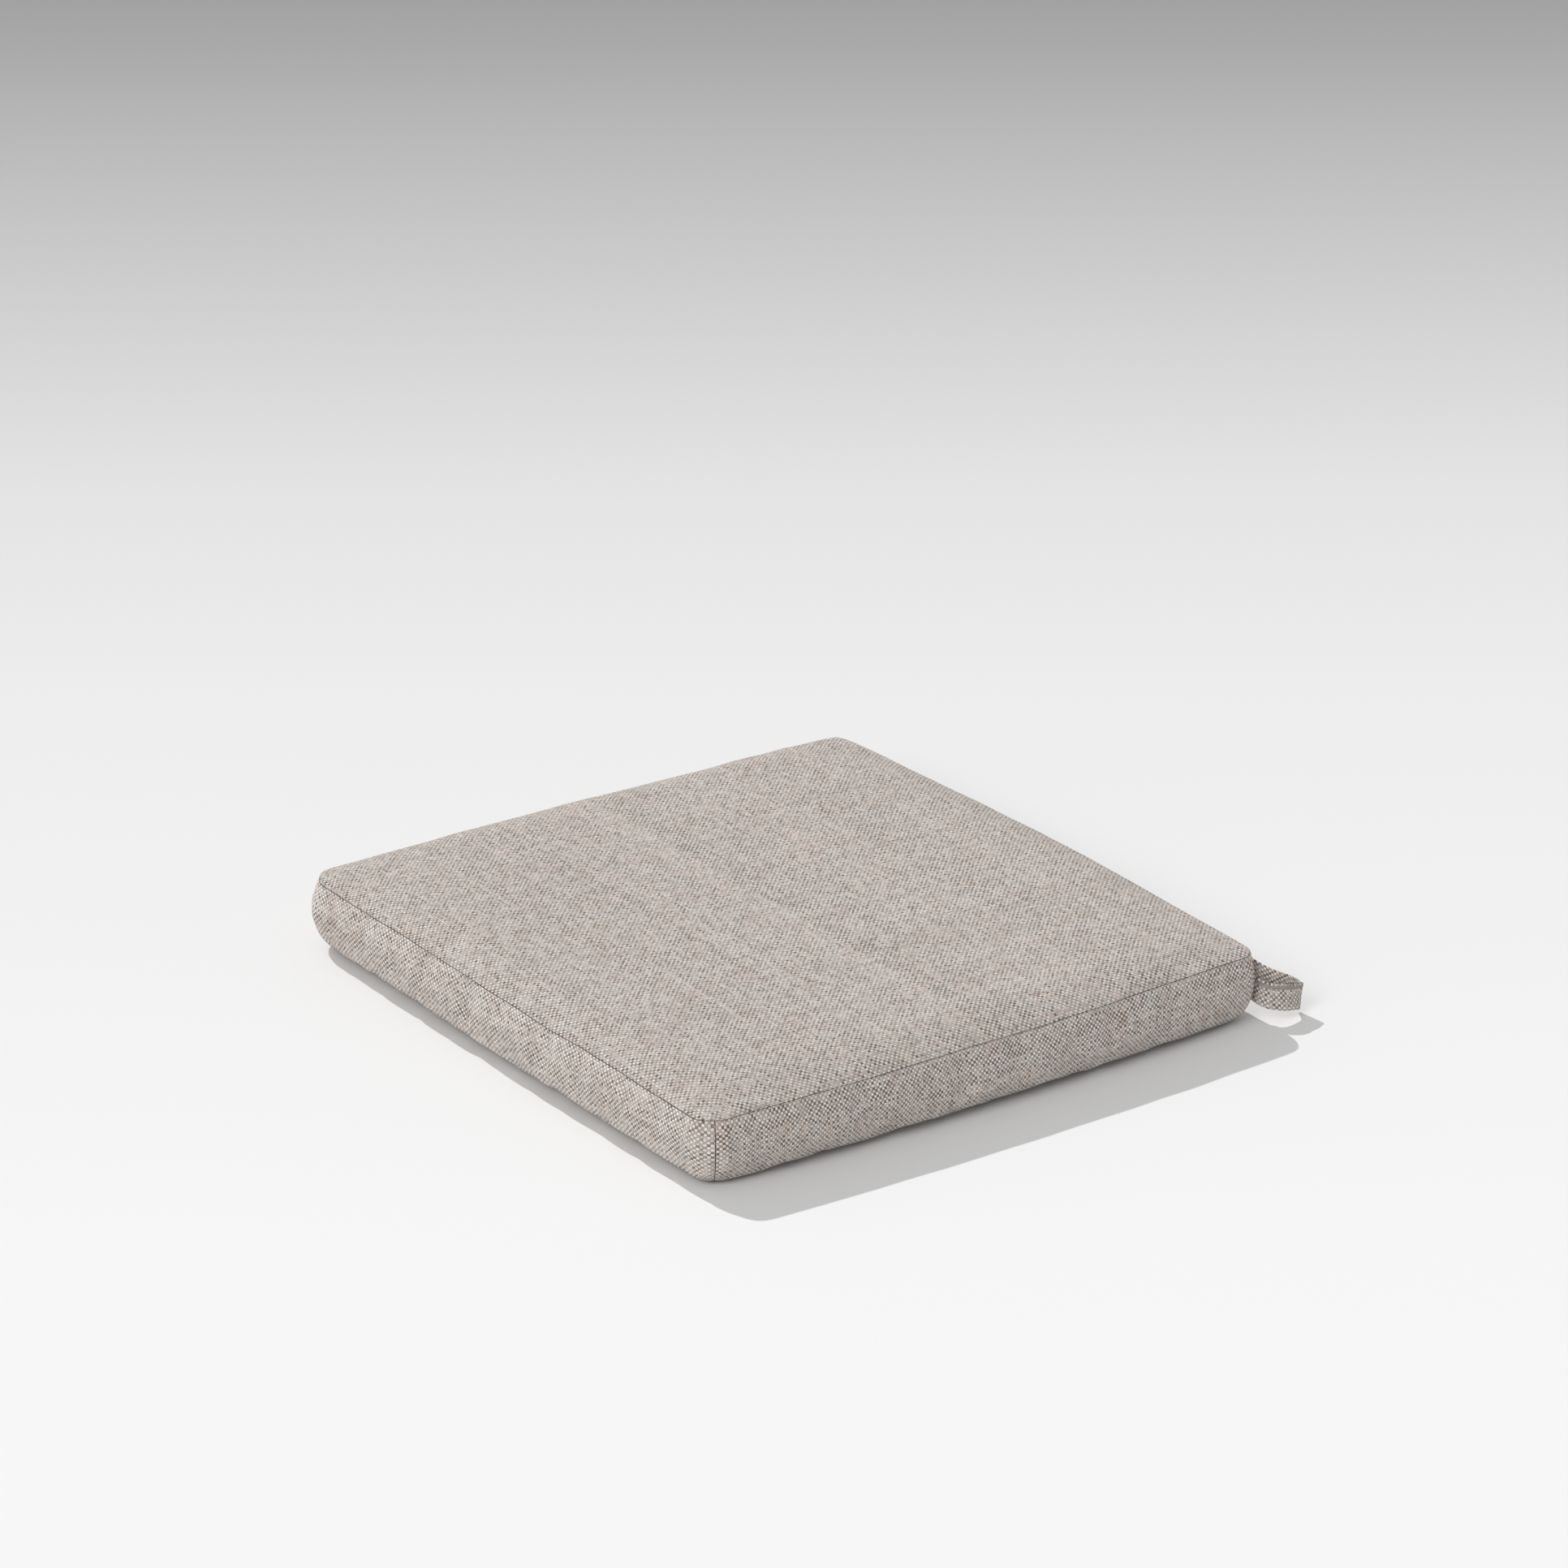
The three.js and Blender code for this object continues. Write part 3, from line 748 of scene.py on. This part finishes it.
# The end pieces lap over the ends of the zip's tapes.
right_column = float(np.interp(-tape_high.x + TAPE_LAP, rear_x, np.arange(CELLS + 1)))
left_column = float(np.interp(-tape_low.x - TAPE_LAP, rear_x, np.arange(CELLS + 1)))
panel("rear_boxing_right", rear, rear_cloth, front_weave_painted_lighter, columns=(0, right_column))
panel("rear_boxing_left", rear, rear_cloth, front_weave_painted_lighter, columns=(left_column, CELLS))
band = (right_column, left_column)
panel("rear_boxing_lower", rear, rear_cloth, front_weave_painted_lighter, rows=(0, low_row), columns=band)
panel("rear_boxing_upper", rear, rear_cloth, front_weave_painted_lighter, rows=(high_row, ROWS), columns=band)


# ---- the filling, hidden inside ----

def layer(name, upper, lower, slot, look):
    """A closed slab between two grids of the same size."""
    index = np.arange(upper.shape[0] * upper.shape[1]).reshape(upper.shape[:2])
    under = index + index.size
    rim = border(index)
    rim_under = border(under)
    wall = np.stack([rim_under, np.roll(rim_under, -1), np.roll(rim, -1), rim], -1)
    faces = np.concatenate([grid_quads(index), grid_quads(under, True), wall])
    piece = new_mesh(name, np.concatenate([upper.reshape(-1, 3), lower.reshape(-1, 3)]), faces)
    finish_piece(piece, BODY, slot, look, name)


def inner_grid(grid, shrink, lift):
    inside = grid.copy()
    inside[..., :2] *= 1 - shrink
    inside[..., 2] += lift
    return inside


coarse_top = cover["top"][::2, ::2]
coarse_bottom = cover["bottom"][::2, ::2]
layer("wadding_upper", inner_grid(coarse_top, 0.04, -2.4 * MM), inner_grid(coarse_top, 0.043, -7.6 * MM),
      "wadding", wadding_look)
layer("foam_core", inner_grid(coarse_top, 0.045, -8.2 * MM), inner_grid(coarse_bottom, 0.02, 8.0 * MM),
      "foam", foam_look)
layer("wadding_lower", inner_grid(coarse_bottom, 0.02, 7.4 * MM), inner_grid(coarse_bottom, 0.02, 1.9 * MM),
      "wadding", wadding_look)


# ---- the straps ----

STRAP = {
    "thickness": 1.9 * MM,
    "reach": 34 * MM,
    "tip_back": 2.6 * MM,           # the fold's lower end lies this much nearer the pad
    "splay": 4.6 * MM,              # the outer leg's lower edge stands this much beyond its upper one
    "lean": math.radians(48),
    "root": (HALF_WIDTH - 18 * MM, REAR_Y + 3 * MM),
    "sewn_in": 6 * MM,              # what each leg has inside the seam
}
# Most of the points and edge heights below weren't chosen by hand: they were fitted to places read off the
# photograph. A separate program worked them out from places read off the photograph, which the rules for
# this script don't allow.
# The straps are still to be redrawn from a few dimensions chosen by hand.
# The legs in plan: share of the reach, and millimetres outwards from the line from root to tip.
INNER_LINE = [(-0.18, -1.2), (0.0, 0.5), (0.12, 3.2), (0.31, 4.6), (0.49, 4.1), (0.68, 2.4), (0.92, -0.5)]
TIP = (1.047, -2.3)
OUTER_LINE = [(-0.18, 1.2), (0.0, 4.5), (0.2, 11.0), (0.45, 14.9), (0.7, 12.7), (0.88, 7.4), (1.01, 1.4)]
# Heights of each leg's lower and upper edge in millimetres, at even steps from the tip to the root.
# The inner leg's edges lie closer together than the band is wide, as for a band rolled in along its lower
# edge.
INNER_EDGES = [(1.2, 20.6), (6.6, 24.5), (12.6, 27.3), (15.8, 29.5), (18.5, 31.6), (21.2, 34.0),
               (23.7, 36.2), (25.4, 38.4), (26.0, 40.3)]
OUTER_EDGES = [(1.2, 20.6), (5.0, 21.8), (6.4, 23.0), (7.6, 24.6), (9.0, 25.5), (10.2, 26.1),
               (11.4, 27.4), (12.8, 29.5), (14.0, 31.5)]
STRAP_STEPS = 70
ROUND_POINTS = 5


def strap_line():
    """The loop's line in plan. For each point it gives the cloth's length so far, the share of the
    way from the tip to the root, and whether it is on the outer leg. The last value is the
    direction from root to tip."""
    lean = STRAP["lean"]
    forward = np.array([math.cos(lean), math.sin(lean)])
    outward = np.array([math.sin(lean), -math.cos(lean)])
    root = np.array(STRAP["root"])
    shares = INNER_LINE + [TIP] + OUTER_LINE[::-1]
    points = np.array([root + share * STRAP["reach"] * forward + out * MM * outward
                       for share, out in shares])
    per_point = 40
    dense = resample(points, np.linspace(0, len(points) - 1, per_point * (len(points) - 1) + 1), 0)
    steps = np.linalg.norm(np.diff(dense, axis=0), axis=1)
    along = np.concatenate([[0], np.cumsum(steps)])
    tip = along[per_point * len(INNER_LINE)]
    want = np.linspace(0, along[-1], STRAP_STEPS)
    line = np.stack([np.interp(want, along, dense[:, k]) for k in range(2)], 1)
    leg_length = np.where(want < tip, tip, along[-1] - tip) - STRAP["sewn_in"]
    from_tip = np.abs(want - tip) / leg_length
    return line, want, np.minimum(from_tip, 1.0), want > tip, forward


def band_section(height, thickness):
    """A flat oval: two straight faces and round edges, counterclockwise."""
    radius = thickness / 2
    turn = np.linspace(0, math.pi, ROUND_POINTS)
    top = np.stack([radius * np.cos(turn), height - radius + radius * np.sin(turn)], 1)
    bottom = np.stack([-radius * np.cos(turn), radius - radius * np.sin(turn)], 1)
    faces = np.linspace(0, 1, 7)[1:-1, None]
    left = top[-1] + (bottom[0] - top[-1]) * faces
    right = bottom[-1] + (top[0] - bottom[-1]) * faces
    return np.concatenate([top, left, bottom, right])


def leg_edges(edges, from_tip):
    """Heights of the lower and upper edge at shares of the way from the tip to the root."""
    return resample(np.array(edges) * MM, from_tip * (len(edges) - 1), 0)


def build_strap(name, mirror):
    line, along, from_tip, outer_leg, forward = strap_line()
    tangent = np.gradient(line, axis=0)
    tangent /= np.linalg.norm(tangent, axis=1)[:, None]
    side = np.stack([-tangent[:, 1], tangent[:, 0]], 1)
    heights = np.where(outer_leg[:, None], leg_edges(OUTER_EDGES, from_tip),
                       leg_edges(INNER_EDGES, from_tip))
    rings = []
    cloth = []
    for k in range(STRAP_STEPS):
        far = from_tip[k]
        low, high = heights[k]
        splay = STRAP["splay"] / 2 * min(1, 6 * far, 3 * (1 - far)) if outer_leg[k] else 0.0
        back = STRAP["tip_back"] * max(0.0, 1 - 5 * far)
        section = band_section(high - low, STRAP["thickness"])
        up = section[:, 1:] / (high - low)
        ring = np.zeros((len(section), 3))
        ring[:, :2] = line[k] + (section[:, :1] + splay * (1 - 2 * up)) * side[k]
        ring[:, :2] -= back * (1 - up) * forward
        ring[:, 2] = low + section[:, 1]
        ring[:, 0] *= mirror
        rings.append(ring)
        turn = np.where(np.arange(len(section)) < len(section) / 2, 1, -1)
        cloth.append(np.stack([np.full(len(section), along[k]), section[:, 1] * turn], 1))
    count = len(rings[0])
    index = np.arange(STRAP_STEPS * count).reshape(STRAP_STEPS, count)
    wrapped = np.concatenate([index, index[:, :1]], 1)
    faces = grid_quads(wrapped, mirror < 0).tolist()
    ends = [index[0].tolist(), index[-1][::-1].tolist()]
    if mirror < 0:
        ends = [end[::-1] for end in ends]
    mesh = bpy.data.meshes.new(name)
    mesh.from_pydata(np.concatenate(rings).tolist(), [], faces + ends)
    mesh.update()
    piece = bpy.data.objects.new(name, mesh)
    bpy.context.scene.collection.objects.link(piece)
    lay_cloth(piece, np.concatenate(cloth) + np.array([2.3 + mirror, 1.1]))
    piece.data.materials.append(side_weave_painted_lighter)
    piece.data.shade_smooth()
    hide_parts(name)
    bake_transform(piece)


build_strap("right_strap_loop", 1)
build_strap("left_strap_loop", -1)


# ---- the zip ----

TOOTH_PITCH = 1.45 * MM
TOOTH_SEGMENTS = 10


def ring_chain(name, low, high, phase):
    """A nylon coil as a row of rounded turns along X inside a box."""
    centre = (low + high) / 2
    size = high - low
    count = int(size.x / TOOTH_PITCH)
    wire = 0.33 * MM
    steps = np.arange(count * TOOTH_SEGMENTS + 1)
    angle = 2 * np.pi * steps / TOOTH_SEGMENTS + phase
    x = low.x + wire + (size.x - 2 * wire) * steps / steps[-1]
    y = centre.y + (size.y / 2 - wire) * np.sin(angle)
    z = centre.z + (size.z / 2 - wire) * np.cos(angle)
    line = np.stack([x, y, z], 1)
    tangent = np.gradient(line, axis=0)
    tangent /= np.linalg.norm(tangent, axis=1)[:, None]
    outward = np.stack([np.zeros_like(x), np.sin(angle), np.cos(angle)], 1)
    other = np.cross(tangent, outward)
    other /= np.linalg.norm(other, axis=1)[:, None]
    outward = np.cross(other, tangent)
    section = np.linspace(0, 2 * np.pi, 6, endpoint=False)
    rings = (line[:, None] + wire * (np.cos(section)[None, :, None] * outward[:, None]
                                     + np.sin(section)[None, :, None] * other[:, None]))
    index = np.arange(rings.shape[0] * 6).reshape(-1, 6)
    wrapped = np.concatenate([index, index[:, :1]], 1)
    quads = grid_quads(wrapped).tolist()
    mesh = bpy.data.meshes.new(name)
    ends = [index[0, ::-1].tolist(), index[-1].tolist()]
    mesh.from_pydata(rings.reshape(-1, 3).tolist(), [], quads + ends)
    mesh.update()
    piece = bpy.data.objects.new(name, mesh)
    bpy.context.scene.collection.objects.link(piece)
    finish_piece(piece, BODY, "zip_coil", nylon_look, name)


for name, phase in (("zip_coil_lower", 0.0), ("zip_coil_upper", math.pi)):
    ring_chain(name, *(Vector(corner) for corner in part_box(name)), phase)

for name in ("zip_tape_lower", "zip_tape_upper"):
    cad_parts[name].material_slots[0].material = tape_look
for name in ("zip_slider", "zip_pull_tab", "zip_stop_left", "zip_stop_right"):
    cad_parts[name].material_slots[0].material = metal_look


# ---- floor, light and camera ----

# The floor is painted darker towards the back, as the studio light's fall-off over the paper: share of the
# way from in front of the pad, and its grey.
FLOOR_PAINTED_FALLOFF = [(0.02, 0.872), (0.143, 0.864), (0.409, 0.79), (0.542, 0.717), (0.734, 0.527),
               (0.922, 0.349), (1.0, 0.29)]


def build_floor():
    size = 30.0
    mesh = bpy.data.meshes.new("floor")
    mesh.from_pydata([(-size, -size, 0), (size, -size, 0), (size, size, 0), (-size, size, 0)], [],
                     [(0, 1, 2, 3)])
    floor = bpy.data.objects.new("floor", mesh)
    bpy.context.scene.collection.objects.link(floor)
    s = Shader("floor_paper_painted_falloff")
    place = s.node("TexCoord").outputs["Object"]
    parts = s.node("SeparateXYZ")
    s.link(place, parts.inputs[0])
    # painted shade: the grey darkens along this direction, towards the back and left
    back = s.math("SUBTRACT", s.math("MULTIPLY", parts.outputs[1], 0.56),
                  s.math("MULTIPLY", parts.outputs[0], 0.83))
    share = s.math("DIVIDE", s.math("ADD", back, 0.8), 3.2, clamp=True)
    s.set(Base_Color=s.ramp(share, [(place, (grey, grey, grey)) for place, grey in FLOOR_PAINTED_FALLOFF]),
          Roughness=0.9)
    mesh.materials.append(s.material)


CAMERA = {
    "azimuth": 54.7,
    "elevation": 24.2,
    "distance": 4.2,
    "lens": 148.6,
    "aim_up": 0.105,                # the pad sits below the middle of the picture
    "aim_right": 0.004,
}


def build_camera():
    azimuth = math.radians(CAMERA["azimuth"])
    elevation = math.radians(CAMERA["elevation"])
    back = Vector((math.sin(azimuth) * math.cos(elevation), -math.cos(azimuth) * math.cos(elevation),
                   math.sin(elevation)))
    right = Vector((math.cos(azimuth), math.sin(azimuth), 0))
    up = back.cross(right)
    target = Vector((0, 0, 0.025))
    data = bpy.data.cameras.new("camera")
    data.lens = CAMERA["lens"]
    data.sensor_width = 36
    data.clip_end = 100
    camera = bpy.data.objects.new("camera", data)
    bpy.context.scene.collection.objects.link(camera)
    camera.location = target + back * CAMERA["distance"]
    aim = target + up * CAMERA["aim_up"] + right * CAMERA["aim_right"]
    camera.rotation_euler = (aim - camera.location).to_track_quat("-Z", "Y").to_euler()
    bpy.context.scene.camera = camera


def sun_light(name, azimuth, elevation, energy, angle):
    """A distant light that comes from an azimuth (0 is the front, 90 the right) and elevation."""
    data = bpy.data.lights.new(name, "SUN")
    data.energy = energy
    data.angle = math.radians(angle)
    light = bpy.data.objects.new(name, data)
    bpy.context.scene.collection.objects.link(light)
    turn = math.radians(azimuth)
    rise = math.radians(elevation)
    source = Vector((math.sin(turn) * math.cos(rise), -math.cos(turn) * math.cos(rise), math.sin(rise)))
    light.rotation_euler = (-source).to_track_quat("-Z", "Y").to_euler()


def build_lights():
    sun_light("key", azimuth=-90, elevation=43, energy=1.92, angle=0.8)
    sun_light("fill", azimuth=20, elevation=36, energy=0.98, angle=30)
    world = bpy.data.worlds.new("studio")
    world.use_nodes = True
    world.node_tree.nodes["Background"].inputs["Color"].default_value = (1, 1, 1, 1)
    world.node_tree.nodes["Background"].inputs["Strength"].default_value = 0.46
    bpy.context.scene.world = world
    bpy.context.scene.view_settings.view_transform = "Standard"


build_floor()
build_camera()
build_lights()
